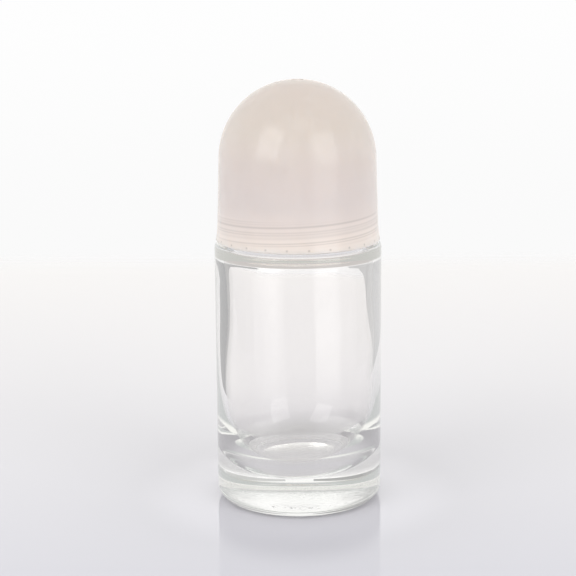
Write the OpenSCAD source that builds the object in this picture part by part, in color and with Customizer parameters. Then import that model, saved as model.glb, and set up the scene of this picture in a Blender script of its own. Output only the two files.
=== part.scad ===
// Roll-on bottle: a heavy-based clear glass bottle, a ball snapped into a housing
// that plugs the neck, and a domed cap that screws on over both.
// Millimetres. The origin is the centre of the base, on the table. +Z runs up the
// axis, and the front is at -Y.

/* [Glass body] */
// Outside diameter of the glass body, from which the neck, the ball and the cap follow
body_d = 40; // [37:0.5:46]
// Height of the flat shoulder above the table
shoulder_z = 63.2; // [50:0.2:80]
// Thickness of the glass side wall
glass_wall = 2.3; // [1.8:0.1:2.8]
// Height of the inside floor above the table, which is the heavy base
floor_z = 8.8; // [6:0.2:12]
// Thickness of the glass under the flat shoulder
shoulder_t = 2.5; // [1.5:0.1:3]
// Radius of the outside heel
heel_r = 3.2; // [2:0.2:3.8]
// Radius of the outside shoulder corner
shoulder_r = 1; // [0.6:0.1:1.6]
// Radius where the inside floor turns up into the wall
floor_fillet_r = 3; // [1.5:0.25:7]
// Radius where the inside wall turns in under the shoulder
ceiling_fillet_r = 3; // [1:0.25:3.5]
// Width of the flat ring that the bottle stands on, round the hollow under the base
base_ring_w = 4.1; // [2.5:0.1:6]
// Height of the hollow under the base at its middle
pushup_h = 1.2; // [0.6:0.1:2]

/* [Glass neck] */
// Wall of the neck, without the ridges of its thread
neck_wall = 2.6; // [2.2:0.1:3]
// Height of the neck above the shoulder
neck_h = 9.3; // [9.1:0.1:11]

/* [Screw thread] */
// How far the ridges of the thread stand out, on the neck and in the cap
ridge_h = 1.1; // [0.8:0.05:1.3]
// Radial room between a ridge's crest and the wall facing it
thread_room = 0.45; // [0.3:0.05:0.6]

/* [Ball] */
// How much wider the ball is than the bore of the neck
ball_over_bore = 0.2; // [0:0.1:1.2]
// Wall of the hollow ball
ball_wall = 1.4; // [1:0.1:2]
// Room all round between the ball and its socket
ball_room = 0.12; // [0.08:0.01:0.2]

/* [Ball housing] */
// Wall of the socket that holds the ball
socket_wall = 1.15; // [0.9:0.05:1.2]
// Angle above the ball's widest line at which the holding lip ends
lip_angle = 22; // [16:1:28]
// How deep the plug reaches into the neck
plug_depth = 8; // [7:0.25:9.5]
// Wall of the plug
plug_wall = 1.2; // [1:0.05:1.5]
// Room between the plug's seal beads and the neck's bore
plug_room = 0.05; // [0.03:0.01:0.09]
// How far each seal bead stands out of the plug
bead_h = 0.3; // [0.2:0.05:0.4]
// Width of a seal bead
bead_w = 1; // [0.7:0.1:1.2]
// Thickness of the flange that sits on the neck's rim
flange_t = 1.4; // [1:0.1:1.8]
// Diameter of the feed hole under the ball
feed_d = 9; // [8:0.5:10]
// How far the feed slots stop short of the inside of the plug
feed_slot_stop = 3.75; // [3:0.25:5]
// Width of a feed slot
feed_slot_w = 2; // [1.5:0.25:2.5]
// Number of feed slots
feed_slots = 4; // [3:1:6]

/* [Cap] */
// Gap between the cap's rim and the glass shoulder
rim_gap = 0.6; // [0.4:0.05:1]
// How far the rim stays inside the side of the glass
rim_inset = 0.4; // [0.2:0.1:1]
// Wall of the cap
cap_wall = 1.2; // [1.1:0.05:1.5]
// How much smaller the dome's radius is than the side's, for the mould's draft
cap_draft = 0.45; // [0.2:0.05:0.6]
// How far the foot of the side flares out at the rim
flare = 0.45; // [0.2:0.05:0.6]
// Height of the flared foot
flare_h = 5.2; // [4:0.2:6]
// Room between the top of the ball and the inside of the dome
headroom = 4.5; // [4.5:0.1:6]
// Diameter, at its middle, of the ring inside the dome that seals on the ball
seal_d = 16; // [13:0.5:18]
// Thickness of the seal ring
seal_t = 0.9; // [0.7:0.1:1.1]
// Gap between the seal ring's tip and the ball
seal_gap = 0.2; // [0.15:0.05:0.4]
// Number of small marks round the foot of the cap
foot_marks = 24; // [12:2:36]
// Width of a mark
mark_w = 0.35; // [0.25:0.05:0.5]
// Height of a mark
mark_h = 0.6; // [0.4:0.05:0.8]
// Depth of a mark
mark_depth = 0.18; // [0.1:0.02:0.25]
// Height of a mark's middle above the rim
mark_rise = 0.8; // [0.6:0.05:1]
// Diameter of the gate's dimple on top of the dome
gate_d = 3.1; // [2:0.1:4]
// Depth of the gate's dimple
gate_depth = 0.25; // [0.15:0.05:0.35]

/* [Hidden] */
$fn = 120;

// Radii from the axis, which follow from the side of the glass inwards
body_r = body_d / 2;
rim_out_r = body_r - rim_inset;
cap_out_r = rim_out_r - flare;
cap_in_r = cap_out_r - cap_wall;
neck_r = cap_in_r - thread_room - ridge_h;
bore_r = neck_r - neck_wall;
ball_r = bore_r + ball_over_bore / 2;

// Glass: more radii, and heights above the table
inside_r = body_r - glass_wall;
rim_z = shoulder_z + neck_h;
ceiling_z = shoulder_z - shoulder_t;
neck_foot_r = 0.6;
rim_edge_r = 0.5;
bore_foot_r = 0.8;
inside_corner_r = min(ceiling_fillet_r, inside_r - bore_r - bore_foot_r);
pushup_r = body_r - heel_r - base_ring_w;
pushup_sphere_r = (pow(pushup_r, 2) + pow(pushup_h, 2)) / (2 * pushup_h);

// Housing: the plug below the rim, and its flange on top of the rim
plug_r = bore_r - plug_room - bead_h;
plug_in_r = plug_r - plug_wall;
plug_z = rim_z - plug_depth;
flange_inset = 0.15;
flange_r = neck_r - flange_inset;
flange_edge_r = 0.3;
plug_lead_in = 0.5;
bead_shares = [0.3, 0.72];
feed_r = feed_d / 2;
feed_slot_reach = plug_in_r - feed_slot_stop;

// Socket: its outside meets the inner part of the plug's wall level with the top of the
// flange, which sets the height of the ball
socket_r = ball_r + ball_room;
socket_out_r = socket_r + socket_wall;
socket_foot_share = 0.3;
socket_foot_r = plug_in_r + plug_wall * socket_foot_share;
ball_z = rim_z + flange_t + sqrt(pow(socket_out_r, 2) - pow(socket_foot_r, 2));
lip_round_share = 0.6;
lip_round_r = socket_wall * lip_round_share;
lip_round_at = socket_out_r - lip_round_r;

// Cap: its dome clears the ball, and a ring in the dome comes down close to it
dome_r = cap_out_r - cap_draft;
dome_in_r = dome_r - cap_wall;
cap_foot_z = shoulder_z + rim_gap;
flare_z = cap_foot_z + flare_h;
dome_top_z = ball_z + ball_r + headroom + cap_wall;
dome_z = dome_top_z - dome_r;
rim_round_r = 0.25;
mouth_bevel = 0.35;
bore_top_z = rim_z + rim_edge_r;
seal_in_r = seal_d / 2 - seal_t / 2;
seal_out_r = seal_d / 2 + seal_t / 2;
seal_tip_z = ball_z + sqrt(pow(ball_r + seal_gap, 2) - pow(seal_in_r, 2));
seal_root_z = dome_z + sqrt(pow(dome_in_r + cap_wall / 2, 2) - pow(seal_out_r, 2));
first_mark = 6.6;
gate_r = gate_d / 2;
gate_pip_r = 0.5;

// How far a cut runs past the face that it opens
over = 0.5;
arc_steps = 8;
flare_steps = 6;

// Points of an arc about [x, z] from angle a0 to angle a1
function arc(x, z, r, a0, a1) =
    [for (i = [0 : arc_steps])
        let (a = a0 + (a1 - a0) * i / arc_steps)
        [x + r * cos(a), z + r * sin(a)]];

// The glass seen as a solid: heel, side, flat shoulder and neck
module glass_outline() {
    polygon(concat(
        [[0, 0]],
        arc(body_r - heel_r, heel_r, heel_r, -90, 0),
        arc(body_r - shoulder_r, shoulder_z - shoulder_r, shoulder_r, 0, 90),
        arc(neck_r + neck_foot_r, shoulder_z + neck_foot_r, neck_foot_r, 270, 180),
        arc(neck_r - rim_edge_r, rim_z - rim_edge_r, rim_edge_r, 0, 90),
        [[0, rim_z]]));
}

// The room for the liquid, open through the neck
module hollow_outline() {
    polygon(concat(
        [[0, floor_z]],
        arc(inside_r - floor_fillet_r, floor_z + floor_fillet_r, floor_fillet_r, -90, 0),
        arc(inside_r - inside_corner_r, ceiling_z - inside_corner_r, inside_corner_r, 0, 90),
        arc(bore_r + bore_foot_r, ceiling_z + bore_foot_r, bore_foot_r, 270, 180),
        [[bore_r, rim_z + over], [0, rim_z + over]]));
}

module bottle() {
    color([0.8, 0.88, 0.88, 0.45]) rotate_extrude()
        difference() {
            glass_outline();
            hollow_outline();
            translate([0, pushup_h - pushup_sphere_r]) circle(r = pushup_sphere_r, $fn = 720);
        }
}

// The plug's wall with its bevelled end and two rounded seal beads
module plug_outline() {
    polygon([
        [plug_in_r, plug_z],
        [plug_r - plug_lead_in, plug_z],
        [plug_r, plug_z + plug_lead_in],
        [plug_r, rim_z + flange_t],
        [plug_in_r, rim_z + flange_t]]);
    for (share = bead_shares)
        polygon([for (p = arc(0, 0, 1, -90, 90))
            [plug_r + bead_h * p[0], plug_z + plug_depth * share + bead_w / 2 * p[1]]]);
}

// The socket's wall from the flange up to the lip that keeps the ball in
module cup_outline() {
    polygon(concat(
        [[plug_in_r, rim_z], [flange_r, rim_z], [flange_r, rim_z + flange_t - flange_edge_r]],
        [[flange_r - flange_edge_r, rim_z + flange_t], [socket_out_r, rim_z + flange_t]],
        arc(0, ball_z, socket_out_r, 0, lip_angle),
        arc(lip_round_at * cos(lip_angle), ball_z + lip_round_at * sin(lip_angle), lip_round_r,
            lip_angle, lip_angle + 180),
        [[plug_in_r, ball_z]]));
}

module ball_housing() {
    color([0.95, 0.95, 0.93]) difference() {
        rotate_extrude()
            difference() {
                union() {
                    plug_outline();
                    cup_outline();
                    intersection() {
                        translate([0, ball_z]) circle(r = socket_out_r, $fn = 360);
                        square([socket_out_r, rim_z + flange_t]);
                    }
                }
                translate([0, ball_z]) circle(r = socket_r, $fn = 360);
                square([feed_r, ball_z]);
            }
        for (k = [0 : feed_slots - 1])
            rotate(360 * k / feed_slots)
                translate([0, -feed_slot_w / 2, plug_z - over])
                    cube([feed_slot_reach, feed_slot_w, plug_depth]);
    }
}

module ball() {
    color([0.97, 0.97, 0.96]) translate([0, 0, ball_z]) difference() {
        sphere(r = ball_r);
        sphere(r = ball_r - ball_wall);
    }
}

// Radius of the cap's side at a height on its flared foot
function foot_r(z) = cap_out_r + flare * pow((flare_z - z) / flare_h, 2);

// The cap seen as a solid: rounded rim, flared foot, drafted side and dome
module cap_outline() {
    foot_top = [for (i = [1 : flare_steps])
        let (z = cap_foot_z + rim_round_r + (flare_h - rim_round_r) * i / flare_steps)
        [foot_r(z), z]];
    polygon(concat(
        [[0, cap_foot_z]],
        arc(rim_out_r - rim_round_r, cap_foot_z + rim_round_r, rim_round_r, -90, 0),
        foot_top,
        [[dome_r, dome_z], [0, dome_z]]));
    intersection() {
        translate([0, dome_z]) circle(r = dome_r, $fn = 360);
        translate([0, dome_z - over]) square([dome_r, dome_r + over]);
    }
}

// The groove round the pip that the mould's gate leaves on top of the dome
module gate_outline() {
    translate([gate_pip_r, dome_top_z - gate_depth]) square([gate_r - gate_pip_r, over]);
}

// The cap's inside: a bevelled mouth, a straight bore for the thread, and the dome
module cap_hollow_outline() {
    polygon([
        [0, cap_foot_z - over],
        [cap_in_r + mouth_bevel + over, cap_foot_z - over],
        [cap_in_r, cap_foot_z + mouth_bevel],
        [cap_in_r, bore_top_z],
        [dome_in_r, dome_z],
        [0, dome_z]]);
    intersection() {
        translate([0, dome_z]) circle(r = dome_in_r, $fn = 360);
        translate([0, dome_z - over]) square([dome_in_r, dome_in_r + over]);
    }
}

module cap() {
    color([0.93, 0.9, 0.89]) difference() {
        rotate_extrude()
            union() {
                difference() {
                    cap_outline();
                    gate_outline();
                    cap_hollow_outline();
                }
                translate([seal_in_r, seal_tip_z])
                    square([seal_t, seal_root_z - seal_tip_z]);
            }
        for (k = [0 : foot_marks - 1])
            rotate(first_mark - 90 + 360 * k / foot_marks)
                translate([foot_r(cap_foot_z + mark_rise), 0, cap_foot_z + mark_rise])
                    cube([2 * mark_depth, mark_w, mark_h], center = true);
    }
}

bottle();
ball_housing();
ball();
cap();
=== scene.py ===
# %% [markdown]
# A roll-on bottle is four pieces: heavy clear glass, a plastic housing pressed into its neck,
# a ball that rolls in the housing, and a translucent cap that screws over both. The CAD model
# holds their sizes. This lesson gives each one its moulded surface and its finish. Nothing is
# moved or resized here: every measure is read from the frame, or is a small named value.

# %% Load the frame
import math

import bmesh
import bpy
from mathutils import Matrix, Vector, noise


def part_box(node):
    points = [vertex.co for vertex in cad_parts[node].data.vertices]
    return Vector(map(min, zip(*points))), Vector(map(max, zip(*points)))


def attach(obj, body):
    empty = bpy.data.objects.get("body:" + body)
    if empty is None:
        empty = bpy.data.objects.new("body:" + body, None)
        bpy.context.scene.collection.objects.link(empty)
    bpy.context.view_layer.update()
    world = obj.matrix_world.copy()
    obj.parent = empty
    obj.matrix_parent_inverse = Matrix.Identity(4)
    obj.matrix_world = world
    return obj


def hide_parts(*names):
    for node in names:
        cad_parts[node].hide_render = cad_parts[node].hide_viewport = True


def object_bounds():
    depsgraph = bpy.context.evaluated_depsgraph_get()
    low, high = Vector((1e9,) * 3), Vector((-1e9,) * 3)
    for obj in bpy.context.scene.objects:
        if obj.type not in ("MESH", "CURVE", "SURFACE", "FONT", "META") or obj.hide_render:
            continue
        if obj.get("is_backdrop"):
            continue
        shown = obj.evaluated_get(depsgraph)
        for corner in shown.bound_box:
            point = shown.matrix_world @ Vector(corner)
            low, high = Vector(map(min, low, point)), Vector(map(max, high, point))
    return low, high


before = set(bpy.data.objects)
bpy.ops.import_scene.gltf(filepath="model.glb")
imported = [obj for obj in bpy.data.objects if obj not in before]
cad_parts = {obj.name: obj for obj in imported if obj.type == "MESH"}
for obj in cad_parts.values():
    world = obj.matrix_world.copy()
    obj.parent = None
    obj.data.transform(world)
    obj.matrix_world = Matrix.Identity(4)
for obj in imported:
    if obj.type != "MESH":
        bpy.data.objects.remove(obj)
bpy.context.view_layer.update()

MM = 0.001
TURN = 2 * math.pi

# %% [markdown]
# Cameras, lamps and meshes all enter the scene in the same way, as the data of an object. New
# forms are built in a bmesh, which is Blender's mesh for editing, and become a mesh at the end.

# %% Object helpers


def placed(name, data):
    """A new object in the scene that holds the given data."""
    thing = bpy.data.objects.new(name, data)
    bpy.context.scene.collection.objects.link(thing)
    return thing


def mesh_from(bm, name, material):
    """The mesh of a bmesh, with one material."""
    mesh = bpy.data.meshes.new(name)
    bm.to_mesh(mesh)
    bm.free()
    mesh.materials.append(material)
    return mesh


# %% [markdown]
# The camera stands where the photographer's did: low, a little above the bottle, with a long
# lens. Its tilt and distance were worked out from the outline of the bottle, whose base looks
# rounder than its shoulder because the eye sees it from more above. The shift only keeps the
# bottle a little right of the middle, as it was framed.

# %% Camera
CAMERA_BACK = 394.7 * MM
CAMERA_UP = 139.25 * MM
CAMERA_TILT = math.radians(12.5)
CAMERA_ROLL = math.radians(-0.35)
CAMERA_CLIP = 10 * MM
SENSOR = 36.0
FOCAL_PX = 1678
PHOTO_PX = 576
SHIFT_X = -0.0177

camera_data = bpy.data.cameras.new("camera")
camera_data.sensor_width = SENSOR
camera_data.lens = SENSOR * FOCAL_PX / PHOTO_PX
camera_data.shift_x = SHIFT_X
camera_data.clip_start = CAMERA_CLIP
camera = placed("camera", camera_data)
camera.matrix_world = (
    Matrix.Translation((0, -CAMERA_BACK, CAMERA_UP))
    @ Matrix.Rotation(math.pi / 2 - CAMERA_TILT, 4, "X")
    @ Matrix.Rotation(CAMERA_ROLL, 4, "Z")
)
bpy.context.scene.camera = camera
bpy.context.scene.view_settings.view_transform = "Standard"
print("lens in mm:", round(camera_data.lens, 1))

# %% [markdown]
# Materials are node trees. A few small helpers keep the cells that follow short. They add a
# node and set its sockets by name, draw a wire from an output to an input, and do sums on
# numbers and colours. The same trees can be drawn by hand in the node editor.

# %% Node helpers


def add_node(tree, kind, **settings):
    """A new node. Settings name its properties, or its input sockets with _ for a space."""
    node = tree.nodes.new(kind)
    for key, value in settings.items():
        if hasattr(node, key):
            setattr(node, key, value)
        else:
            node.inputs[key.replace("_", " ")].default_value = value
    return node


def join(tree, source, target):
    """Draws one wire, from an output socket to an input socket."""
    tree.links.new(source, target)


def feed(tree, socket, value):
    """Gives an input either a wire or a plain value."""
    if isinstance(value, bpy.types.NodeSocket):
        join(tree, value, socket)
    else:
        socket.default_value = value


def math_node(tree, operation, first, *others):
    """The result of a sum on sockets or numbers, done in a chain if there are many."""
    for other in others or (0.0,):
        node = add_node(tree, "ShaderNodeMath", operation=operation)
        feed(tree, node.inputs[0], first)
        feed(tree, node.inputs[1], other)
        first = node.outputs[0]
    return first


def ramp(tree, value, low, high, out_low=0.0, out_high=1.0):
    """Maps value from low..high to out_low..out_high along a smooth curve."""
    node = add_node(tree, "ShaderNodeMapRange", interpolation_type="SMOOTHSTEP",
                    From_Min=low, From_Max=high, To_Min=out_low, To_Max=out_high)
    feed(tree, node.inputs["Value"], value)
    return node.outputs["Result"]


def mix_colour(tree, share, a, b):
    """Colour a where share is 0 and colour b where it is 1."""
    node = add_node(tree, "ShaderNodeMix", data_type="RGBA")
    feed(tree, node.inputs["Factor"], share)
    feed(tree, node.inputs["A"], a)
    feed(tree, node.inputs["B"], b)
    return node.outputs["Result"]


def scaled(tree, colour, factor):
    """A colour made lighter or darker by a factor."""
    node = add_node(tree, "ShaderNodeVectorMath", operation="SCALE")
    feed(tree, node.inputs[0], colour)
    feed(tree, node.inputs["Scale"], factor)
    return node.outputs[0]


node_helpers = (add_node, join, feed, math_node, ramp, mix_colour, scaled)
print("node helpers:", [helper.__name__ for helper in node_helpers])

# %% [markdown]
# Some steps come back in several materials: a place on a piece split into its axes, its
# distance from the middle of the base, noise, and a bump. The Light Path node says how often a
# ray was mirrored (its Glossy Depth), how often it went through a face (its Transmission
# Depth), and how often it met a face at all (its Ray Depth). These are whole numbers, so a
# test for more than two, say, is made half way between two and three.

# %% Pattern and ray helpers


def axes_of(tree, vector):
    """The X, Y and Z of a place or a direction."""
    node = add_node(tree, "ShaderNodeSeparateXYZ")
    join(tree, vector, node.inputs[0])
    return node.outputs


def length_of(tree, vector):
    """How far a place is from the origin."""
    node = add_node(tree, "ShaderNodeVectorMath", operation="LENGTH")
    join(tree, vector, node.inputs[0])
    return node.outputs["Value"]


def noise_value(tree, vector, scale, detail):
    """Smooth noise from 0 to 1."""
    node = add_node(tree, "ShaderNodeTexNoise", Detail=detail)
    join(tree, vector, node.inputs["Vector"])
    feed(tree, node.inputs["Scale"], scale)
    return node.outputs["Fac"]


def bumped(tree, height, strength, distance, normal=None):
    """A normal tilted by a height, starting from another normal if there is one."""
    node = add_node(tree, "ShaderNodeBump", Strength=strength, Distance=distance)
    join(tree, height, node.inputs["Height"])
    if normal is not None:
        join(tree, normal, node.inputs["Normal"])
    return node.outputs[0]


def more_than(tree, path, kind, count):
    """1 for a ray that was mirrored, went through or met faces more than count times."""
    return math_node(tree, "GREATER_THAN", path.outputs[kind + " Depth"], count + 0.5)


def new_material(name):
    """A material, its node tree and its Principled shader."""
    material = bpy.data.materials.new(name)
    material.use_nodes = True
    return material, material.node_tree, material.node_tree.nodes["Principled BSDF"]


def choose(tree, share, shader, other):
    """Sends one shader to the output where share is 0, and the other where it is 1."""
    mix = add_node(tree, "ShaderNodeMixShader")
    join(tree, share, mix.inputs[0])
    join(tree, shader.outputs[0], mix.inputs[1])
    join(tree, other.outputs[0], mix.inputs[2])
    join(tree, mix.outputs[0], tree.nodes["Material Output"].inputs["Surface"])


more_helpers = (axes_of, length_of, noise_value, bumped, more_than, new_material, choose)
print("more helpers:", [helper.__name__ for helper in more_helpers])

# %% [markdown]
# The studio is a table in a bright white tent. Clear glass shows what is around it, so the
# surroundings make the picture. Rays that only light a surface see an even white. The camera,
# and rays that were mirrored or went through glass, see a white that is a touch greyer below
# the horizon and falls off towards the front, as the tent's opening for the camera does. A
# tent of real walls and lamps would do the same, but its light is far slower to find.

# %% World
SKY_TOP = 0.99
SKY_LOW = 0.955
SKY_FRONT = 0.78
LOW_END = -0.2
HORIZON = -0.04
FRONT_END = -0.5
BACK_START = 0.5
FILL = 0.92

world = bpy.data.worlds.new("studio")
bpy.context.scene.world = world
world.use_nodes = True
tree = world.node_tree
tree.nodes.clear()
axes = axes_of(tree, add_node(tree, "ShaderNodeTexCoord").outputs["Generated"])
back = ramp(tree, axes["Z"], LOW_END, HORIZON, SKY_LOW, SKY_TOP)
share = ramp(tree, axes["Y"], FRONT_END, BACK_START, SKY_FRONT, 1.0)
sky = math_node(tree, "MULTIPLY", back, share)
path = add_node(tree, "ShaderNodeLightPath")
seen = math_node(tree, "MAXIMUM", path.outputs["Is Glossy Ray"],
                 path.outputs["Is Transmission Ray"], path.outputs["Is Camera Ray"])
background = add_node(tree, "ShaderNodeBackground")
join(tree, mix_colour(tree, seen, (FILL, FILL, FILL, 1), sky), background.inputs["Color"])
output = add_node(tree, "ShaderNodeOutputWorld")
join(tree, background.outputs[0], output.inputs["Surface"])
print("world lights with a strength of", FILL)

# %% [markdown]
# Two tall soft panels stand in front, left and right of the camera. They put the two broad,
# faint highlights on the dome. Small lamps would make small, hard ones, so these are large and
# weak. The camera doesn't see them when the bottle is looked at from behind.

# %% Soft panels
DOME_CENTRE = Vector((0, 0, 83 * MM))
PANELS = {"panel_left": (-0.80, -0.79, 0.63), "panel_right": (0.78, -0.89, 0.46)}
PANEL_WIDE = 0.8
PANEL_HIGH = 1.0
PANEL_WATTS = 4.2

for name, spot in PANELS.items():
    data = bpy.data.lights.new(name, "AREA")
    data.shape = "RECTANGLE"
    data.size = PANEL_WIDE
    data.size_y = PANEL_HIGH
    data.energy = PANEL_WATTS
    panel = placed(name, data)
    panel.visible_camera = False
    look = (DOME_CENTRE - Vector(spot)).to_track_quat("-Z", "Y")
    panel.matrix_world = Matrix.Translation(spot) @ look.to_matrix().to_4x4()
print("panels:", list(PANELS))

# %% [markdown]
# The table is a pale glossy board, painted a little whiter at its far end, where more light
# falls on it. It ends not far behind the bottle in a soft edge, as it is out of focus there. Its
# gloss mirrors the bright background and, in front, the bottle itself. Under and round the
# bottle the board is bright, because the glass gathers light there. The renderer finds gathered
# light only slowly, so it is painted round the bottle, and rays that come out of the glass are
# given it as a painted glow of the board: bright for rays that went straight down to it, greyer
# for rays that the glass mirrored or that crossed the room inside, and greyest towards the back,
# where the mirrored rays graze the round floor of the room and draw its outline. Round the
# bottle, rays that come out of the glass see that painted light taken down below the plain
# paint, as painted shade.

# %% Table paint
TABLE_BACK = 305 * MM
TABLE_FADE = 262 * MM
TABLE_ROUGHNESS = 0.05
NEAR_Y = -50 * MM
FAR_Y = 270 * MM
NEAR_PAINT = (0.650, 0.645, 0.690, 1)
FAR_PAINT = (0.890, 0.866, 0.850, 1)
WHITER_POWER = 0.8
LIFT = 1.17
LIFT_R = 22 * MM
LIFT_END = 42 * MM
DROP = 0.26
DROP_END = 48 * MM
UNDER_R = 19 * MM
UNDER_SOFT = 6 * MM
UNDER_TONE = (0.90, 0.90, 0.86, 1)
FLOOR_TONE = (0.62, 0.61, 0.63)
FOOT_NEAR = -6 * MM
FOOT_FAR = 12 * MM
FOOT_SHADE = 0.30
FOOT_R = 22 * MM
FOOT_END = 34 * MM

table_paint, tree, shader = new_material("table")
place = add_node(tree, "ShaderNodeTexCoord").outputs["Object"]
distance = length_of(tree, place)
along = axes_of(tree, place)["Y"]
path = add_node(tree, "ShaderNodeLightPath")
seen = more_than(tree, path, "Transmission", 0)
crossed = more_than(tree, path, "Transmission", 2)
mirrored = more_than(tree, path, "Glossy", 0)

# Painted light: the board's paint grows whiter towards its far end.
away = add_node(tree, "ShaderNodeMapRange", From_Min=NEAR_Y, From_Max=FAR_Y)
join(tree, along, away.inputs["Value"])
whiter = math_node(tree, "POWER", away.outputs["Result"], WHITER_POWER)
# Painted light lifts the board round the bottle; rays out of the glass see it lowered below the
# plain paint there, as painted shade.
drop = math_node(tree, "MULTIPLY", seen, ramp(tree, distance, LIFT_R, DROP_END, DROP, 0.0))
lift = math_node(tree, "SUBTRACT", ramp(tree, distance, LIFT_R, LIFT_END, LIFT, 1.0), drop)
paint = scaled(tree, mix_colour(tree, whiter, NEAR_PAINT, FAR_PAINT), lift)
join(tree, paint, shader.inputs["Base Color"])
join(tree, ramp(tree, along, TABLE_FADE, TABLE_BACK, 1.0, 0.0), shader.inputs["Alpha"])
shader.inputs["Roughness"].default_value = TABLE_ROUGHNESS

# Rays out of the glass see the board as a painted glow; mirrored ones see painted shade in it
# towards the back.
shade = ramp(tree, along, FOOT_NEAR, FOOT_FAR, 0.0, FOOT_SHADE)
shade = math_node(tree, "SUBTRACT", 1.0, math_node(tree, "MULTIPLY", mirrored, shade))
deeper = math_node(tree, "MAXIMUM", mirrored, crossed)
tone = mix_colour(tree, deeper, UNDER_TONE, scaled(tree, FLOOR_TONE, shade))
gathered = add_node(tree, "ShaderNodeEmission")
join(tree, tone, gathered.inputs["Color"])
under = ramp(tree, distance, UNDER_R, UNDER_R + UNDER_SOFT, 1.0, 0.0)
foot = math_node(tree, "MULTIPLY", mirrored, ramp(tree, distance, FOOT_R, FOOT_END, 1.0, 0.0))
lit = math_node(tree, "MULTIPLY", seen, math_node(tree, "MAXIMUM", under, foot))
choose(tree, lit, shader, gathered)
print("table is painted", LIFT, "times as light round the bottle")

# %% [markdown]
# The board itself is one flat face, wide enough to fill the picture's foot. It is marked as
# part of the stage, so that it isn't taken for a part of the bottle.

# %% Table
TABLE_FRONT = -1400 * MM
TABLE_HALF = 1300 * MM

bm = bmesh.new()
bmesh.ops.create_grid(bm, x_segments=1, y_segments=1, size=1)
bmesh.ops.scale(bm, vec=(TABLE_HALF, (TABLE_BACK - TABLE_FRONT) / 2, 1), verts=bm.verts)
bmesh.ops.translate(bm, vec=(0, (TABLE_BACK + TABLE_FRONT) / 2, 0), verts=bm.verts)
table = placed("table", mesh_from(bm, "table", table_paint))
table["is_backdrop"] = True
print("table ends", round(TABLE_BACK / MM), "mm behind the bottle")

# %% [markdown]
# Glass edges need something dark to show against white. A grey card stands at each side, as
# photographers place them, the left one darker. Only rays that leave the glass meet them, so
# they neither shade the bottle nor show in the table.

# %% Grey cards
CARD_NEAR_X = 100 * MM
CARD_NEAR_Y = 30 * MM
CARD_FAR_X = 62 * MM
CARD_FAR_Y = 600 * MM
CARD_HIGH = 70 * MM
LEFT_GREY = 0.40
RIGHT_GREY = 0.60


def grey_card(name, side, grey):
    """An upright card on one side, that only rays out of the glass can see."""
    bm = bmesh.new()
    ends = [bm.verts.new((side * CARD_NEAR_X, CARD_NEAR_Y, 0)),
            bm.verts.new((side * CARD_FAR_X, CARD_FAR_Y, 0))]
    raised = bmesh.ops.extrude_edge_only(bm, edges=[bm.edges.new(ends)])["geom"]
    top = [g for g in raised if isinstance(g, bmesh.types.BMVert)]
    bmesh.ops.translate(bm, vec=(0, 0, CARD_HIGH), verts=top)
    paint, tree, shader = new_material(name)
    tree.nodes.remove(shader)
    glow = add_node(tree, "ShaderNodeEmission", Color=(grey, grey, grey, 1))
    join(tree, glow.outputs[0], tree.nodes["Material Output"].inputs["Surface"])
    card = placed(name, mesh_from(bm, name, paint))
    card.visible_camera = False
    card.visible_diffuse = False
    card.visible_glossy = False
    card.visible_shadow = False
    card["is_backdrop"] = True
    return card


cards = [grey_card("card_left", -1, LEFT_GREY), grey_card("card_right", 1, RIGHT_GREY)]
print("cards:", [card.name for card in cards])

# %% [markdown]
# Every piece here is round, so each one but the ball is a profile turned round the axis. The
# profile is a chain of points in the XZ plane: straight runs with arcs between them, as on a
# drawing. The spin operator sweeps the chain through a full turn. Its first and last copies
# are merged, the points on the axis become one, and the faces are made to point outwards. A
# screw modifier could turn the profile too, but an operator leaves real points, and later
# cells move some of them.

# %% Profile helpers
WELD = 0.0005 * MM
EDGE_STEPS = 6
ARC_STEPS = 10
WIDE_STEPS = 12
SHARP_ANGLE = 40


def arc(x, z, r, start, end, steps=ARC_STEPS):
    """Points on an arc about (x, z), from one angle to another in degrees."""
    angles = [math.radians(start + (end - start) * i / steps) for i in range(steps + 1)]
    return [(x + r * math.cos(a), z + r * math.sin(a)) for a in angles]


def rows(x0, z0, x1, z1, step):
    """Points between two ends of a straight run, without the ends, about one step apart."""
    count = max(1, round(math.hypot(x1 - x0, z1 - z0) / step))
    return [(x0 + (x1 - x0) * i / count, z0 + (z1 - z0) * i / count) for i in range(1, count)]


def turned(profile, segments, closed=False):
    """A bmesh: the profile spun once round the Z axis."""
    bm = bmesh.new()
    chain = [bm.verts.new((x, 0, z)) for x, z in profile]
    pairs = zip(chain, chain[1:] + ([chain[0]] if closed else []))
    edges = [bm.edges.new(pair) for pair in pairs]
    bmesh.ops.spin(bm, geom=chain + edges, cent=(0, 0, 0), axis=(0, 0, 1), angle=TURN,
                   steps=segments, use_merge=True, use_duplicate=False)
    bmesh.ops.remove_doubles(bm, verts=bm.verts, dist=WELD)
    bmesh.ops.recalc_face_normals(bm, faces=bm.faces)
    return bm


def finished(bm, name, body, node, material, sharp=SHARP_ANGLE):
    """Makes the object: smooth faces, sharp past an angle, on its body, for its CAD node."""
    for face in bm.faces:
        face.smooth = True
    mesh = mesh_from(bm, name, material)
    mesh.set_sharp_from_angle(angle=math.radians(sharp))
    piece = placed(name, mesh)
    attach(piece, body)
    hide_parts(node)
    print(name, "has", len(mesh.polygons), "faces")


print("a quarter round has", len(arc(0, 0, 1, 0, 90)), "points")

# %% [markdown]
# The thread has two ridges that start on opposite sides and climb together. They are made by
# pushing points of the turned wall in or out, so that the ridge and the wall are one skin. In
# clear glass that matters: a ridge laid over the wall would leave a hidden surface inside,
# and light would bend at it. A ridge runs for somewhat more than a turn and fades at its ends.

# %% Thread
PITCH = 2.5 * MM
STARTS = 2
LEAD = PITCH * STARTS
RUN = 430
FADE = 16
RIDGE_H = 1.1 * MM
FLANK = 0.5


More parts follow.
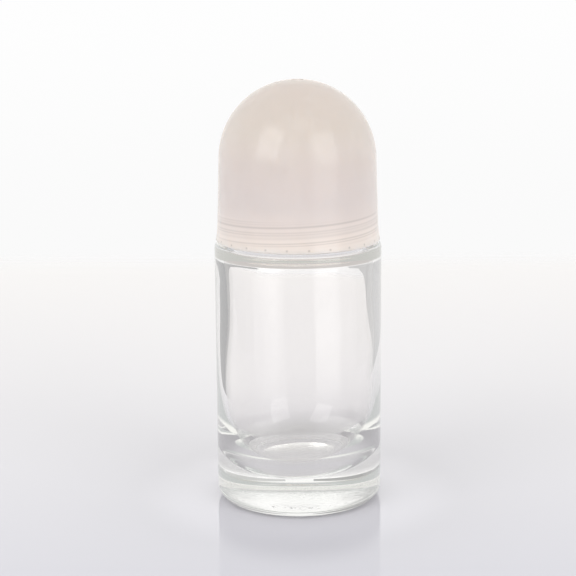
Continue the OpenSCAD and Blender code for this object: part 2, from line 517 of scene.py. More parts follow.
def ridge_share(angle, z, start_z, first, last, half_width, section):
    """How high a ridge stands at this angle in degrees and height, from 0 to 1."""
    best = 0.0
    for start in range(STARTS):
        turn = (angle - 360 / STARTS * start) % 360
        for a in (turn - 360, turn, turn + 360):
            if first < a < last:
                off = abs(z - start_z - LEAD * a / 360) / half_width
                fade = min(1.0, (a - first) / FADE, (last - a) / FADE)
                best = max(best, section(off) * fade)
    return best


def push_ridge(v, side, start_z, first, half_width, section):
    """Moves a point of a wall out (side 1) or in (side -1) by the ridge that passes there."""
    r = math.hypot(v.co.x, v.co.y)
    angle = math.degrees(math.atan2(v.co.y, v.co.x))
    share = ridge_share(angle, v.co.z, start_z, first, first + RUN, half_width, section)
    scale = 1 + side * RIDGE_H * share / r
    v.co.x *= scale
    v.co.y *= scale


def round_section(off):
    """A moulded glass ridge: half an ellipse."""
    return math.sqrt(1 - off * off) if off < 1 else 0.0


def flat_section(off):
    """A moulded plastic ridge: sloping flanks and a flat crest."""
    return max(0.0, min(1.0, (1 - off) / FLANK))


print("lead of the thread in mm:", LEAD / MM)

# %% [markdown]
# Two things make glass look moulded and not like a mathematical tube. Its faces are faintly
# wavy, from the mould and from the way that glass settles. And its bottom is stippled, as
# moulds make it there, so that it doesn't stick or slip. Both are too fine for the mesh, so
# two bumps tilt the normal, one on top of the other.

# %% Glass surface
RIPPLE_SCALE = 95.0
RIPPLE_TALL = 0.45
RIPPLE_STRENGTH = 0.25
RIPPLE_H = 0.25 * MM
STIPPLE_TOP = 2.0 * MM
STIPPLE_TOP_SOFT = 0.6 * MM
STIPPLE_R = 17.2 * MM
STIPPLE_R_SOFT = 0.688 * MM
GRIT_SCALE = 1100.0
GRIT_STRENGTH = 0.5
GRIT_H = 0.3 * MM


def glass_normal(tree, place, up):
    """Faint waves all over, which are longer up and down, and stipple on the bottom."""
    stretch = add_node(tree, "ShaderNodeMapping", Scale=(1, 1, RIPPLE_TALL))
    join(tree, place, stretch.inputs["Vector"])
    ripple = noise_value(tree, stretch.outputs[0], RIPPLE_SCALE, detail=1.0)
    waves = bumped(tree, ripple, RIPPLE_STRENGTH, RIPPLE_H)
    low = ramp(tree, up, STIPPLE_TOP - STIPPLE_TOP_SOFT, STIPPLE_TOP, 1.0, 0.0)
    distance = length_of(tree, place)
    inner = ramp(tree, distance, STIPPLE_R - STIPPLE_R_SOFT, STIPPLE_R, 1.0, 0.0)
    grit = noise_value(tree, place, GRIT_SCALE, detail=2.0)
    stipple = math_node(tree, "MULTIPLY", grit, low, inner)
    return bumped(tree, stipple, GRIT_STRENGTH, GRIT_H, waves)


print("stipple reaches", round(STIPPLE_R / MM, 1), "mm from the axis")

# %% [markdown]
# Inside a thick corner a ray can be mirrored many times, and the renderer gives up on it after
# a while and leaves it black. In life it would come out in the white surroundings, so a ray
# that has met many faces is given a painted glow in their tone instead, brighter low in the
# base, where the table's gathered light is. The table mirrors the bottle as a plain grey band,
# so a mirrored ray gets that band at once, as a painted reflection. Rays that the shoulder
# turns up into the neck's wall come out under the cap, so they get a painted glow in the tone
# that its foot has there.

# %% Painted tones for lost rays
DEEP_RAY = 7
DEEP_MIRROR = 2
DEEP_GLOW = (0.56, 0.58, 0.57, 1)
BASE_GLOW = (0.94, 0.94, 0.90, 1)
LIT_TOP = 6 * MM
LIT_END = 12 * MM
PAINTED_MIRROR_LOW = (0.0, 0.0, 0.03, 1)
PAINTED_MIRROR_HIGH = (0.72, 0.72, 0.74, 1)
MIRROR_START = 5 * MM
MIRROR_END = 13 * MM
COLLAR_Z = 60.5 * MM
COLLAR_TOP_Z = 61.8 * MM
COLLAR_GLOW = (0.61, 0.575, 0.555, 1)
COLLAR_EDGE_GLOW = (0.57, 0.57, 0.54, 1)


def glass_painted_glow(tree, path, up):
    """Which rays get a painted glow instead of the glass, and that glow as an emission."""
    outside = math_node(tree, "SUBTRACT", 1.0, more_than(tree, path, "Transmission", 0))
    # A ray that a gloss mirrored onto the glass gets a painted reflection: a plain band of tone.
    mirror = math_node(tree, "MULTIPLY", path.outputs["Is Glossy Ray"], outside)
    mirror_share = ramp(tree, up, MIRROR_START, MIRROR_END)
    painted_mirror_tone = mix_colour(tree, mirror_share, PAINTED_MIRROR_LOW, PAINTED_MIRROR_HIGH)
    crossed = more_than(tree, path, "Transmission", 1)
    collar = math_node(tree, "GREATER_THAN", up, COLLAR_Z)
    collar_tone = mix_colour(tree, crossed, COLLAR_EDGE_GLOW, COLLAR_GLOW)
    body_tone = mix_colour(tree, ramp(tree, up, LIT_TOP, LIT_END), BASE_GLOW, DEEP_GLOW)
    inner_tone = mix_colour(tree, collar, body_tone, collar_tone)
    tone = add_node(tree, "ShaderNodeEmission")
    join(tree, mix_colour(tree, mirror, inner_tone, painted_mirror_tone), tone.inputs["Color"])
    many = more_than(tree, path, "Ray", DEEP_RAY)
    much_mirrored = more_than(tree, path, "Glossy", DEEP_MIRROR)
    turned_up = math_node(tree, "MULTIPLY", more_than(tree, path, "Glossy", 0),
                          more_than(tree, path, "Transmission", 0),
                          math_node(tree, "GREATER_THAN", up, COLLAR_TOP_Z))
    through = math_node(tree, "MULTIPLY", crossed, collar)
    return math_node(tree, "MAXIMUM", many, much_mirrored, mirror, turned_up, through), tone


print("a ray is lost after", DEEP_RAY, "faces, or", DEEP_MIRROR, "mirrors")

# %% [markdown]
# Clear glass is a Principled shader with full transmission. Its iron tints the thick base a
# little more than the wall. The lost rays are then given their painted glow in place of the
# shader.

# %% Glass material
GLASS_IOR = 1.5
GLASS_TINT = (0.990, 0.982, 0.976, 1)
THICK_TINT = (0.985, 0.985, 0.960, 1)
BASE_TOP = 9 * MM
WALL_LOW = 13 * MM

clear_glass, tree, shader = new_material("moulded_glass")
place = add_node(tree, "ShaderNodeTexCoord").outputs["Object"]
up = axes_of(tree, place)["Z"]
tint = mix_colour(tree, ramp(tree, up, BASE_TOP, WALL_LOW), THICK_TINT, GLASS_TINT)
join(tree, tint, shader.inputs["Base Color"])
join(tree, glass_normal(tree, place, up), shader.inputs["Normal"])
shader.inputs["Roughness"].default_value = 0.0
shader.inputs["IOR"].default_value = GLASS_IOR
shader.inputs["Transmission Weight"].default_value = 1.0
toned, tone = glass_painted_glow(tree, add_node(tree, "ShaderNodeLightPath"), up)
choose(tree, toned, shader, tone)
print("glass bends light with an index of", GLASS_IOR)

# %% [markdown]
# The outer measures of the bottle follow from the frame's boxes. The wall, the floor and the
# fillets are the glassmaker's.

# %% Bottle sizes
low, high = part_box("bottle")
cap_low, cap_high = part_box("cap")
BODY_R = high.x
RIM_Z = high.z
RIM_GAP = 0.6 * MM
SHOULDER_Z = cap_low.z - RIM_GAP
SHOULDER_T = 1.1 * MM
SHOULDER_R = 1.0 * MM
CEILING_Z = SHOULDER_Z - SHOULDER_T
CEILING_FILLET = 3.0 * MM
GLASS_WALL = 2.3 * MM
FLOOR_Z = 6.9 * MM
BOWL_H = 24 * MM
BOWL_POWER = 3
BOWL_STEPS = 100
HEEL_R = 3.2 * MM
HEEL_STEPS = 16
NECK_R = 16.4 * MM
NECK_FOOT = 0.6 * MM
RIM_EDGE = 0.5 * MM
BORE_R = 13.8 * MM
BORE_FOOT = 0.8 * MM
BORE_EDGE = 0.2 * MM
PUSHUP_R = 12.7 * MM
PUSHUP_H = 0.8 * MM
THREAD_RISE = 1.0 * MM
THREAD_Z = SHOULDER_Z + THREAD_RISE
GLASS_RIDGE_HALF = 0.8 * MM
GLASS_SEGMENTS = 224
WALL_STEP = 3 * MM
THREAD_STEP = 0.13 * MM
BORE_STEP = 2 * MM
INSIDE_STEP = 1.5 * MM

inside_r = BODY_R - GLASS_WALL
print("inside of the glass is", round(2 * inside_r / MM, 1), "mm wide")

# %% [markdown]
# The inside was blown, and no mould held it, so it isn't as true as the outside. It is a
# little off centre and wavy, its floor is aslant, and the plunger that first opened the hot
# glass left a low, broken bead there, with part of a second one outside it. A bump map would
# only pretend this. Here the points themselves move, because what is seen through the glass
# bends with its true form. The noise has no seed, so it is the same each time.

# %% Settled inside
INSIDE_SHIFT = 0.35 * MM
FLOOR_SLANT = 0.045
SETTLE_LOW = 12 * MM
SETTLE_TOP = 8 * MM
WAVE_DEPTH = 0.5 * MM
WAVE_SIZE = 15 * MM
WAVE_STRETCH = 0.6
RING_X = -1.0 * MM
RING_R = 9.4 * MM
RING_HALF = 0.45 * MM
RING_STEP = 1.7 * MM
RING_H = 0.22 * MM
RING_GRIT = 1.1 * MM
RING_MEAN = 0.55
RING_RAGGED = 0.9
OUTER_SHARE = 0.5


def bead_at(r, middle):
    """Height of a bead's rounded section, from 0 to 1, at a distance from its centre."""
    return math.exp(-(((r - middle) / RING_HALF) ** 2))


def ring_bead(x, y):
    """Height of the plunger's broken beads on the floor, at a place there."""
    r = math.hypot(x - RING_X, y)
    ragged = RING_MEAN + RING_RAGGED * noise.noise(Vector((x, y, 0)) / RING_GRIT)
    outer = bead_at(r - RING_STEP, RING_R) * min(1.0, (RING_X - x) / RING_R) if x < RING_X else 0
    return RING_H * (bead_at(r, RING_R) * ragged + OUTER_SHARE * outer)


def settle(v):
    """Moves a point of the inside: off centre, wavy, its floor aslant and beaded."""
    r = math.hypot(v.co.x, v.co.y)
    out = min(1.0, r / inside_r)
    up = min(1.0, (v.co.z - FLOOR_Z) / SETTLE_LOW)
    top = min(1.0, (CEILING_Z - v.co.z) / SETTLE_TOP)
    wave = noise.noise(Vector((v.co.x, v.co.y, v.co.z * WAVE_STRETCH)) / WAVE_SIZE)
    away = WAVE_DEPTH * wave * out * top / r if r > 0 else 0
    v.co.z += FLOOR_SLANT * v.co.x * (1 - up) ** 2 + ring_bead(v.co.x, v.co.y)
    v.co.x += v.co.x * away + INSIDE_SHIFT * up * top
    v.co.y += v.co.y * away


print("bead on the floor is", round(2 * RING_R / MM, 1), "mm across")

# %% [markdown]
# The bottle's glass is one skin: under the base, up the outside, over the rim of the neck and
# down the inside to the floor. The profile below walks along it in that order. A solidify
# modifier would give one thickness everywhere, and this glass is thick in the base and thin at
# the shoulder. The inside ends in a bowl, whose curve runs from upright to level and is
# flattest in the middle.

# %% Bottle
bend = 2 / BOWL_POWER
dish_r = (PUSHUP_R**2 + PUSHUP_H**2) / (2 * PUSHUP_H)
dish_angle = math.degrees(math.asin(PUSHUP_R / dish_r))
neck_low = SHOULDER_Z + NECK_FOOT
neck_high = RIM_Z - RIM_EDGE
fillet_z = CEILING_Z - CEILING_FILLET
profile = (
    arc(0, PUSHUP_H - dish_r, dish_r, 90, 90 - dish_angle, WIDE_STEPS)
    + arc(BODY_R - HEEL_R, HEEL_R, HEEL_R, -90, 0, HEEL_STEPS)
    + rows(BODY_R, HEEL_R, BODY_R, SHOULDER_Z - SHOULDER_R, WALL_STEP)
    + arc(BODY_R - SHOULDER_R, SHOULDER_Z - SHOULDER_R, SHOULDER_R, 0, 90)
    + arc(NECK_R + NECK_FOOT, neck_low, NECK_FOOT, 270, 180, EDGE_STEPS)
    + rows(NECK_R, neck_low, NECK_R, neck_high, THREAD_STEP)
    + arc(NECK_R - RIM_EDGE, neck_high, RIM_EDGE, 0, 90, EDGE_STEPS)
    + [(BORE_R + BORE_EDGE, RIM_Z), (BORE_R, RIM_Z - BORE_EDGE)]
    + rows(BORE_R, RIM_Z, BORE_R, CEILING_Z + BORE_FOOT, BORE_STEP)
    + arc(BORE_R + BORE_FOOT, CEILING_Z + BORE_FOOT, BORE_FOOT, 180, 270, EDGE_STEPS)
    + arc(inside_r - CEILING_FILLET, fillet_z, CEILING_FILLET, 90, 0, WIDE_STEPS)
    + rows(inside_r, fillet_z, inside_r, FLOOR_Z + BOWL_H, INSIDE_STEP)
    + [(inside_r * max(0, x) ** bend, FLOOR_Z + BOWL_H * (1 - max(0, -z) ** bend))
       for x, z in arc(0, 0, 1, 0, -90, BOWL_STEPS)]
)
bm = turned(profile, GLASS_SEGMENTS)
for v in bm.verts:
    r = math.hypot(v.co.x, v.co.y)
    if abs(r - NECK_R) < WELD and neck_low < v.co.z < neck_high:
        push_ridge(v, 1, THREAD_Z, 0, GLASS_RIDGE_HALF, round_section)
    elif r < inside_r + WELD and FLOOR_Z - WELD < v.co.z < CEILING_Z - WELD:
        settle(v)
finished(bm, "glass_bottle", "bottle", "bottle", clear_glass)

# %% [markdown]
# All three plastic pieces came out of polished moulds that have a very fine satin. It is one
# node group, used by each material with its own values, so the three can't drift apart. It
# gives a height for the bump, a roughness that changes with it, and faint patches, where the
# plastic flowed together.

# %% Satin grain
PATCH_SCALE = 55.0
PATCH_START = 0.35
PATCH_END = 0.65


def satin_group():
    """A node group: grain height, roughness and flow patches from a place on the piece."""
    group = bpy.data.node_groups.new("satin_grain", "ShaderNodeTree")
    for name, kind in (("Place", "NodeSocketVector"), ("Fineness", "NodeSocketFloat"),
                       ("Roughness", "NodeSocketFloat"), ("Spread", "NodeSocketFloat")):
        group.interface.new_socket(name, in_out="INPUT", socket_type=kind)
    for name in ("Height", "Roughness", "Patches"):
        group.interface.new_socket(name, in_out="OUTPUT", socket_type="NodeSocketFloat")
    given = group.nodes.new("NodeGroupInput").outputs
    result = group.nodes.new("NodeGroupOutput").inputs
    fine = noise_value(group, given["Place"], given["Fineness"], detail=3.0)
    centred = math_node(group, "SUBTRACT", fine, 0.5)
    change = math_node(group, "MULTIPLY", centred, given["Spread"])
    patches = noise_value(group, given["Place"], PATCH_SCALE, detail=1.0)
    join(group, fine, result["Height"])
    join(group, math_node(group, "ADD", given["Roughness"], change), result["Roughness"])
    join(group, ramp(group, patches, PATCH_START, PATCH_END), result["Patches"])
    return group


satin = satin_group()
print("satin grain has", len(satin.nodes), "nodes")

# %% [markdown]
# The cap, the ball and the housing are polyolefins: milky plastics that let light into them.
# Subsurface scattering does this on every face that the camera sees in the open. Seen through
# the glass, the same plastic is lit by light that ran along inside the glass to reach it, and
# the renderer can't find such light well. So a face that is seen through glass glows a little
# in its own colour.

# %% Plastic materials
PLASTIC_IOR = 1.49
FINENESS = 2600.0
SPREAD = 0.25
GRAIN_DEPTH = 0.05 * MM
REDDER = (1.0, 0.92, 0.86)
BLACK = (0, 0, 0, 1)
BALL_COLOUR = (0.9, 0.9, 0.89, 1)
HOUSING_COLOUR = (0.88, 0.85, 0.82, 1)


def plastic_material(name, tone, roughness, milk, milk_depth, piped=0.0, grain=0.02):
    """A milky moulded plastic. Tone makes its colour from place and patches; piped is its glow
    behind glass."""
    material, tree, shader = new_material(name)
    place = add_node(tree, "ShaderNodeTexCoord").outputs["Object"]
    surface = add_node(tree, "ShaderNodeGroup", node_tree=satin)
    join(tree, place, surface.inputs["Place"])
    surface.inputs["Fineness"].default_value = FINENESS
    surface.inputs["Roughness"].default_value = roughness
    surface.inputs["Spread"].default_value = SPREAD
    colour = tone(tree, place, surface.outputs["Patches"])
    join(tree, colour, shader.inputs["Base Color"])
    join(tree, surface.outputs["Roughness"], shader.inputs["Roughness"])
    normal = bumped(tree, surface.outputs["Height"], grain, GRAIN_DEPTH)
    join(tree, normal, shader.inputs["Normal"])
    shader.inputs["Subsurface Weight"].default_value = milk
    shader.inputs["Subsurface Radius"].default_value = REDDER
    shader.inputs["Subsurface Scale"].default_value = milk_depth
    shader.inputs["IOR"].default_value = PLASTIC_IOR
    behind = more_than(tree, add_node(tree, "ShaderNodeLightPath"), "Transmission", 0)
    join(tree, mix_colour(tree, behind, BLACK, colour), shader.inputs["Emission Color"])
    shader.inputs["Emission Strength"].default_value = piped
    return material


def patchy(colour, share):
    """A tone that is one colour, a little darker in its flow patches."""
    darker = tuple(c * share for c in colour[:3]) + (1,)
    return lambda tree, place, patches: mix_colour(tree, patches, darker, colour)


ball_plastic = plastic_material("polished_ball", patchy(BALL_COLOUR, share=0.985),
                                roughness=0.16, milk=0.3, milk_depth=1 * MM)
housing_plastic = plastic_material("milky_housing", patchy(HOUSING_COLOUR, share=0.98),
                                   roughness=0.32, milk=0.3, milk_depth=1.5 * MM, piped=0.25)
print("plastics:", ball_plastic.name, housing_plastic.name)

# %% [markdown]
# The cap's plastic is thin, so it takes on a tone from what is behind it, and that light and
# shade are painted into its colour. The dome over the ball is a warm beige, painted darker
# towards its top, the side is pinker, and the foot, which glass and thread light from inside,
# is painted brighter. Light sent through the real shell would show this too, but with much
# grain, so it is drawn into the colour, as stops on a scale of height.

# %% Cap colours
# Colour with painted light and shade, by share of the cap's height.
CAP_STOPS = (
    (0.00, (0.86, 0.750, 0.680)),
    (0.07, (0.81, 0.730, 0.675)),
    (0.19, (0.703, 0.642, 0.613)),
    (0.38, (0.775, 0.663, 0.627)),
    (0.64, (0.715, 0.630, 0.573)),
    (0.75, (0.690, 0.610, 0.548)),
    (0.92, (0.630, 0.550, 0.498)),
)
STOPS_LOW = 62.7 * MM
STOPS_TALL = 39.2 * MM


def height_colour(tree, up):
    """The cap's colour by its height alone, with the light and shade through the shell painted in.
    """
    steps = add_node(tree, "ShaderNodeValToRGB")
    steps.color_ramp.interpolation = "B_SPLINE"
    while len(steps.color_ramp.elements) < len(CAP_STOPS):
        steps.color_ramp.elements.new(0.5)
    for element, (position, colour) in zip(steps.color_ramp.elements, CAP_STOPS):
        element.position = position
        element.color = (*colour, 1)
    above = math_node(tree, "SUBTRACT", up, STOPS_LOW)
    join(tree, math_node(tree, "DIVIDE", above, STOPS_TALL), steps.inputs["Fac"])
    return steps.outputs["Color"]


print("tones on the cap:", len(CAP_STOPS))

# %% [markdown]
# The threads inside show through the thin shell, so their shade is painted in as faint dark
# lines where a ridge ends, and the wall between two ridges is painted a little lighter. They
# climb round the cap by one pitch in half a turn, so height less angle gives each point a
# phase, and a line lies wherever that phase has one value. Each line is stronger low or high
# on the thread.

# %% Thread lines
FIRST_LINE = 70.0 * MM
FIRST_PHASE = 0.25
THREAD_LINES = (
    {"phase": 0.75, "half": 0.15, "from": 67.2 * MM, "to": 69.6 * MM, "low": 0.25, "high": 1.0},
    {"phase": 0.27, "half": 0.12, "from": 67.0 * MM, "to": 69.0 * MM, "low": 0.9, "high": 0.45},
    {"phase": 0.05, "half": 0.10, "from": 67.0 * MM, "to": 69.0 * MM, "low": 0.9, "high": 0.3},
)
THREAD_FOOT = 64.9 * MM
THREAD_FOOT_SOFT = 0.9 * MM
THREAD_TOP = 71.6 * MM
THREAD_TOP_SOFT = 1.2 * MM
LINE_DARK = 0.16
BETWEEN_PHASE = 0.48
BETWEEN_HALF = 0.25
BETWEEN_LIGHT = 0.045


def line_mask(tree, value, middle, half):
    """1 where the value is at the middle of a line, 0 at half a width away."""
    off = math_node(tree, "ABSOLUTE", math_node(tree, "SUBTRACT", value, middle))
    return ramp(tree, off, 0.0, half, 1.0, 0.0)


def thread_lines(tree, up, angle):
    """How much painted shade the threads' lines give the cap, and painted light between them."""
    climb = math_node(tree, "DIVIDE", math_node(tree, "SUBTRACT", up, FIRST_LINE), PITCH)
    turns = math_node(tree, "ADD", math_node(tree, "SUBTRACT", climb, angle), FIRST_PHASE)
    phase = math_node(tree, "FRACT", turns)
    lines = []
    for line in THREAD_LINES:
        strength = ramp(tree, up, line["from"], line["to"], line["low"], line["high"])
        mask = line_mask(tree, phase, line["phase"], line["half"])
        lines.append(math_node(tree, "MULTIPLY", mask, strength))
    between = line_mask(tree, phase, BETWEEN_PHASE, BETWEEN_HALF)
    window = math_node(tree, "MULTIPLY",
                       ramp(tree, up, THREAD_FOOT, THREAD_FOOT + THREAD_FOOT_SOFT),
                       ramp(tree, up, THREAD_TOP - THREAD_TOP_SOFT, THREAD_TOP, 1.0, 0.0))
    dark = math_node(tree, "MULTIPLY", math_node(tree, "MAXIMUM", *lines), window, LINE_DARK)
    return dark, math_node(tree, "MULTIPLY", between, window, BETWEEN_LIGHT)


print("thread shows in", len(THREAD_LINES), "lines")

# %% [markdown]
# Small marks of the mould stand round the foot, and the shade in them is painted in as dark
# ticks. They are all made at once, by cutting the angle into equal turns. The cap has the
# finest grain, and more milk than the other two plastics, because its shell is thin. Light
# grazing the edge of the shell comes right through it, which a little warm sheen does here.

# %% Cap material
MARKS = 24
MARK_Z = 64.6 * MM
MARK_HALF_TALL = 0.4 * MM
MARK_PHASE = 0.5
MARK_HALF_WIDE = 0.09
MARK_DARK = 0.3
PATCH_DARK = 0.012
SHEEN = 0.8
SHEEN_ROUGHNESS = 0.22
SHEEN_TINT = (1.0, 0.92, 0.82, 1)


def cap_tone(tree, place, patches):
    """The cap's colour by height with painted light and shade, and the painted threads and marks.
    """
    axes = axes_of(tree, place)
    up = axes["Z"]
    angle = math_node(tree, "DIVIDE", math_node(tree, "ARCTAN2", axes["Y"], axes["X"]), math.pi)
    dark, light = thread_lines(tree, up, angle)
    # The foot's marks are painted in as dark ticks of shade.
    turn = math_node(tree, "FRACT", math_node(tree, "MULTIPLY", angle, MARKS / 2))
    marks = math_node(tree, "MULTIPLY", line_mask(tree, turn, MARK_PHASE, MARK_HALF_WIDE),
                      line_mask(tree, up, MARK_Z, MARK_HALF_TALL), MARK_DARK)
    faint = math_node(tree, "MULTIPLY", patches, PATCH_DARK)
    lost = math_node(tree, "ADD", math_node(tree, "MAXIMUM", dark, marks), faint)
    kept = math_node(tree, "SUBTRACT", math_node(tree, "ADD", light, 1.0), lost)
    return scaled(tree, height_colour(tree, up), kept)


cap_plastic = plastic_material("translucent_cap", cap_tone, roughness=0.13, milk=1.0,
                               milk_depth=3 * MM, piped=0.25, grain=0.008)
edge_light = cap_plastic.node_tree.nodes["Principled BSDF"].inputs
edge_light["Sheen Weight"].default_value = SHEEN
edge_light["Sheen Roughness"].default_value = SHEEN_ROUGHNESS
edge_light["Sheen Tint"].default_value = SHEEN_TINT
print("cap's material has", len(cap_plastic.node_tree.nodes), "nodes")

# %% [markdown]
# The ball is moulded in two halves, welded and ground round, so that nothing shows where they
# met. An ico sphere or a fine UV sphere would do, and the UV sphere's even rows give the
# smoother gloss. It leans, so that the narrow faces round its pole don't sit right on top,
# where the ball is seen with the cap off.

# %% Ball
BALL_AROUND = 96
BALL_UP = 64
BALL_LEAN = 0.6

low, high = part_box("ball")
BALL_R = (high.z - low.z) / 2
BALL_Z = (high.z + low.z) / 2
bm = bmesh.new()
bmesh.ops.create_uvsphere(bm, u_segments=BALL_AROUND, v_segments=BALL_UP, radius=BALL_R)
bmesh.ops.rotate(bm, verts=bm.verts, cent=(0, 0, 0), matrix=Matrix.Rotation(BALL_LEAN, 3, "Y"))
bmesh.ops.translate(bm, verts=bm.verts, vec=(0, 0, BALL_Z))
finished(bm, "roller_ball", "ball", "ball", ball_plastic)

# %% [markdown]
# The housing is one moulding. Its plug goes down into the neck with two seal beads, its
# flange sits on the glass rim, and its cup wraps past the ball's widest line, so that the
# ball snaps in and stays. Its profile is closed, because this piece has no point on the axis.

# %% Ball housing
low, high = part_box("ball_housing")
PLUG_Z = low.z
PLUG_R = 13.45 * MM
PLUG_IN_R = 12.25 * MM
PLUG_BEVEL = 0.5 * MM
FLANGE_R = high.x
FLANGE_T = 1.4 * MM
FLANGE_EDGE = 0.3 * MM
BEAD_H = 0.3 * MM
BEAD_HALF = 0.5 * MM
BEAD_SHARES = (0.3, 0.72)
BEAD_STEPS = 8
BALL_ROOM = 0.12 * MM
SOCKET_R = BALL_R + BALL_ROOM
SOCKET_WALL = 1.15 * MM
SOCKET_STEPS = 40
CUP_R = SOCKET_R + SOCKET_WALL
LIP_ANGLE = 22
LIP_ROUND = 0.6 * SOCKET_WALL
LIP_FROM = 20
LIP_TO = 150
LIP_INSIDE = 2
LIP_STEPS = 8
FEED_R = 4.5 * MM
HOUSING_SEGMENTS = 128
HOUSING_SHARP = 30


def angle_under(x, r):
    """The angle in degrees at which a cup of radius r, below its centre, is x off the axis."""
    return -math.degrees(math.acos(x / r))


lip_x = (CUP_R - LIP_ROUND) * math.cos(math.radians(LIP_ANGLE))
lip_z = BALL_Z + (CUP_R - LIP_ROUND) * math.sin(math.radians(LIP_ANGLE))
beads = []
for share in BEAD_SHARES:
    z = PLUG_Z + (RIM_Z - PLUG_Z) * share
    beads += [(PLUG_R + BEAD_H * x, z + BEAD_HALF * up)
              for x, up in arc(0, 0, 1, -90, 90, BEAD_STEPS)]
profile = (
    [(PLUG_IN_R, PLUG_Z), (PLUG_R - PLUG_BEVEL, PLUG_Z), (PLUG_R, PLUG_Z + PLUG_BEVEL)]
    + beads
    + [(PLUG_R, RIM_Z), (FLANGE_R, RIM_Z), (FLANGE_R, RIM_Z + FLANGE_T - FLANGE_EDGE)]
    + [(FLANGE_R - FLANGE_EDGE, RIM_Z + FLANGE_T), (CUP_R, RIM_Z + FLANGE_T)]
    + arc(0, BALL_Z, CUP_R, 0, LIP_ANGLE, LIP_STEPS)
    + arc(lip_x, lip_z, LIP_ROUND, LIP_ANGLE + LIP_FROM, LIP_ANGLE + LIP_TO, LIP_STEPS)
    + arc(0, BALL_Z, SOCKET_R, LIP_ANGLE - LIP_INSIDE, angle_under(FEED_R, SOCKET_R), SOCKET_STEPS)
    + arc(0, BALL_Z, CUP_R, angle_under(FEED_R, CUP_R), angle_under(PLUG_IN_R, CUP_R))
)
housing = turned(profile, HOUSING_SEGMENTS, closed=True)
print("housing's cup wraps the ball to", LIP_ANGLE, "degrees above its widest line")

# %% [markdown]
# Below the ball the cup has a round feed hole with four slots, for the liquid to reach it. A
# boolean could cut them, and would leave ragged faces. Instead the hole's edge slides outwards
# along the cup, and the points that meet at a slot's end are merged.

# %% Feed slots
SLOTS = 4
SLOT_HALF = 1.0 * MM
SLOT_STOP = 3.75 * MM
SLOT_REACH = PLUG_IN_R - SLOT_STOP

slot_turn = TURN / SLOTS
for v in housing.verts:
    r = math.hypot(v.co.x, v.co.y)
    skin_r = math.hypot(r, v.co.z - BALL_Z)
    turn = (math.atan2(v.co.y, v.co.x) + slot_turn / 2) % slot_turn - slot_turn / 2
    on_cup = min(abs(skin_r - SOCKET_R), abs(skin_r - CUP_R)) < WELD and v.co.z < BALL_Z
    if on_cup and r < SLOT_REACH and r * abs(math.sin(turn)) < SLOT_HALF:
        v.co.x *= SLOT_REACH / r
        v.co.y *= SLOT_REACH / r
        v.co.z = BALL_Z - math.sqrt(skin_r**2 - SLOT_REACH**2)
bmesh.ops.remove_doubles(housing, verts=housing.verts, dist=WELD)
finished(housing, "ball_housing_moulding", "housing", "ball_housing",
         housing_plastic, HOUSING_SHARP)

# %% [markdown]
# The cap is one thin moulding. From outside it is a rounded rim, a foot that flares a little,
# a side with draft, and a dome with the scar of the gate on top. Inside are the thread and a
# ring that presses on the ball. Its width and height come from the frame, and its bore from
# the neck that it screws on.

# %% Cap sizes
RIM_OUT_R = cap_high.x
CAP_FOOT_Z = cap_low.z
DOME_TOP_Z = cap_high.z
CAP_WALL = 1.2 * MM
THREAD_ROOM = 0.45 * MM
CAP_DRAFT = 0.45 * MM
FLARE_H = 5.2 * MM
FLARE_STEPS = 18
RIM_ROUND = 0.25 * MM
RIM_STEPS = 5
MOUTH_BEVEL = 0.35 * MM
BORE_PAST = 0.5 * MM
SEAL_R = 8.0 * MM
SEAL_HALF = 0.45 * MM
SEAL_GAP = 0.2 * MM
GATE_R = 1.55 * MM
GATE_DEPTH = 0.25 * MM
PIP_R = 0.5 * MM
PIP_CROWN = 0.01 * MM
CAP_RIDGE_HALF = 0.65 * MM
CAP_THREAD_BACK = 75
CAP_THREAD_STEP = 0.14 * MM
DOME_STEPS = 44
DOME_IN_STEPS = 26
CAP_SEGMENTS = 216

cap_in_r = NECK_R + RIDGE_H + THREAD_ROOM
cap_out_r = cap_in_r + CAP_WALL
flare = RIM_OUT_R - cap_out_r
flare_z = CAP_FOOT_Z + FLARE_H
dome_r = cap_out_r - CAP_DRAFT
dome_z = DOME_TOP_Z - dome_r
dome_in_r = dome_r - CAP_WALL
mouth_z = CAP_FOOT_Z + MOUTH_BEVEL
bore_top_z = RIM_Z + BORE_PAST
print("cap's dome has a radius of", round(dome_r / MM, 2), "mm")

# %% [markdown]
# The profile starts at the middle of the gate's scar, runs down the outside, round the rim and
# up the inside, and ends under the dome. The ridges are pushed inwards from the bore, half a
# pitch above the neck's, so that each thread lies in the grooves of the other.

# %% Cap


def dome_angle(x, r):
    """The angle at which a dome of radius r is x away from the axis, in degrees."""
    return math.degrees(math.acos(x / r))


def foot_r(z):
    """Radius of the flared foot at a height."""
    return cap_out_r + flare * ((flare_z - z) / FLARE_H) ** 2


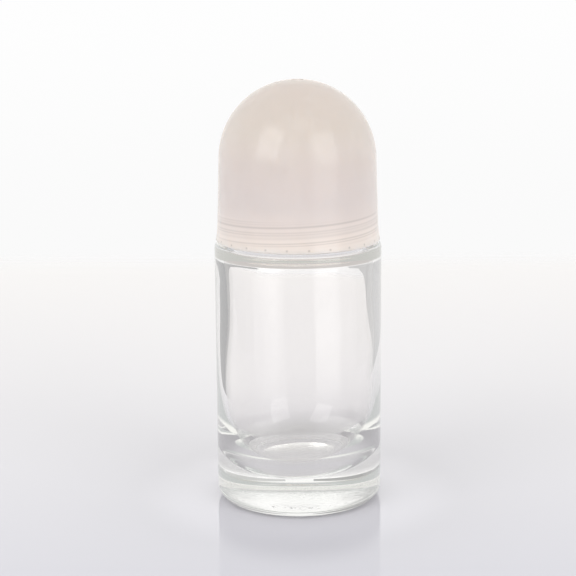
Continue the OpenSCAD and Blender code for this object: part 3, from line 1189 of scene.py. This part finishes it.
seal_in = SEAL_R - SEAL_HALF
seal_out = SEAL_R + SEAL_HALF
seal_tip = BALL_Z + math.sqrt((BALL_R + SEAL_GAP) ** 2 - seal_in**2)
foot_z = CAP_FOOT_Z + RIM_ROUND
foot_rows = [foot_z + (flare_z - foot_z) * i / FLARE_STEPS for i in range(FLARE_STEPS, 0, -1)]
profile = (
    [(0, DOME_TOP_Z), (PIP_R, DOME_TOP_Z - PIP_CROWN)]
    + [(PIP_R, DOME_TOP_Z - GATE_DEPTH), (GATE_R, DOME_TOP_Z - GATE_DEPTH)]
    + arc(0, dome_z, dome_r, dome_angle(GATE_R, dome_r), 0, DOME_STEPS)
    + rows(dome_r, dome_z, cap_out_r, flare_z, INSIDE_STEP)
    + [(foot_r(z), z) for z in foot_rows]
    + arc(RIM_OUT_R - RIM_ROUND, foot_z, RIM_ROUND, 0, -90, RIM_STEPS)
    + [(cap_in_r + MOUTH_BEVEL, CAP_FOOT_Z), (cap_in_r, mouth_z)]
    + rows(cap_in_r, mouth_z, cap_in_r, bore_top_z, CAP_THREAD_STEP)
    + [(cap_in_r, bore_top_z)]
    + rows(cap_in_r, bore_top_z, dome_in_r, dome_z, INSIDE_STEP)
    + arc(0, dome_z, dome_in_r, 0, dome_angle(seal_out, dome_in_r), DOME_IN_STEPS)
    + [(seal_out, seal_tip), (seal_in, seal_tip)]
    + arc(0, dome_z, dome_in_r, dome_angle(seal_in, dome_in_r), 90, WIDE_STEPS)
)
bm = turned(profile, CAP_SEGMENTS)
for v in bm.verts:
    if abs(math.hypot(v.co.x, v.co.y) - cap_in_r) < WELD and mouth_z < v.co.z < bore_top_z:
        push_ridge(v, -1, THREAD_Z + PITCH / 2, -CAP_THREAD_BACK, CAP_RIDGE_HALF, flat_section)
finished(bm, "domed_cap", "cap", "cap", cap_plastic)

# %% [markdown]
# Last, the visual model has to fill the same box as the CAD model. The visual model's box is
# printed.

# %% Sizes and finish
low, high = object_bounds()
print("visual box in mm:", [round(v / MM, 2) for v in (*low, *high)])
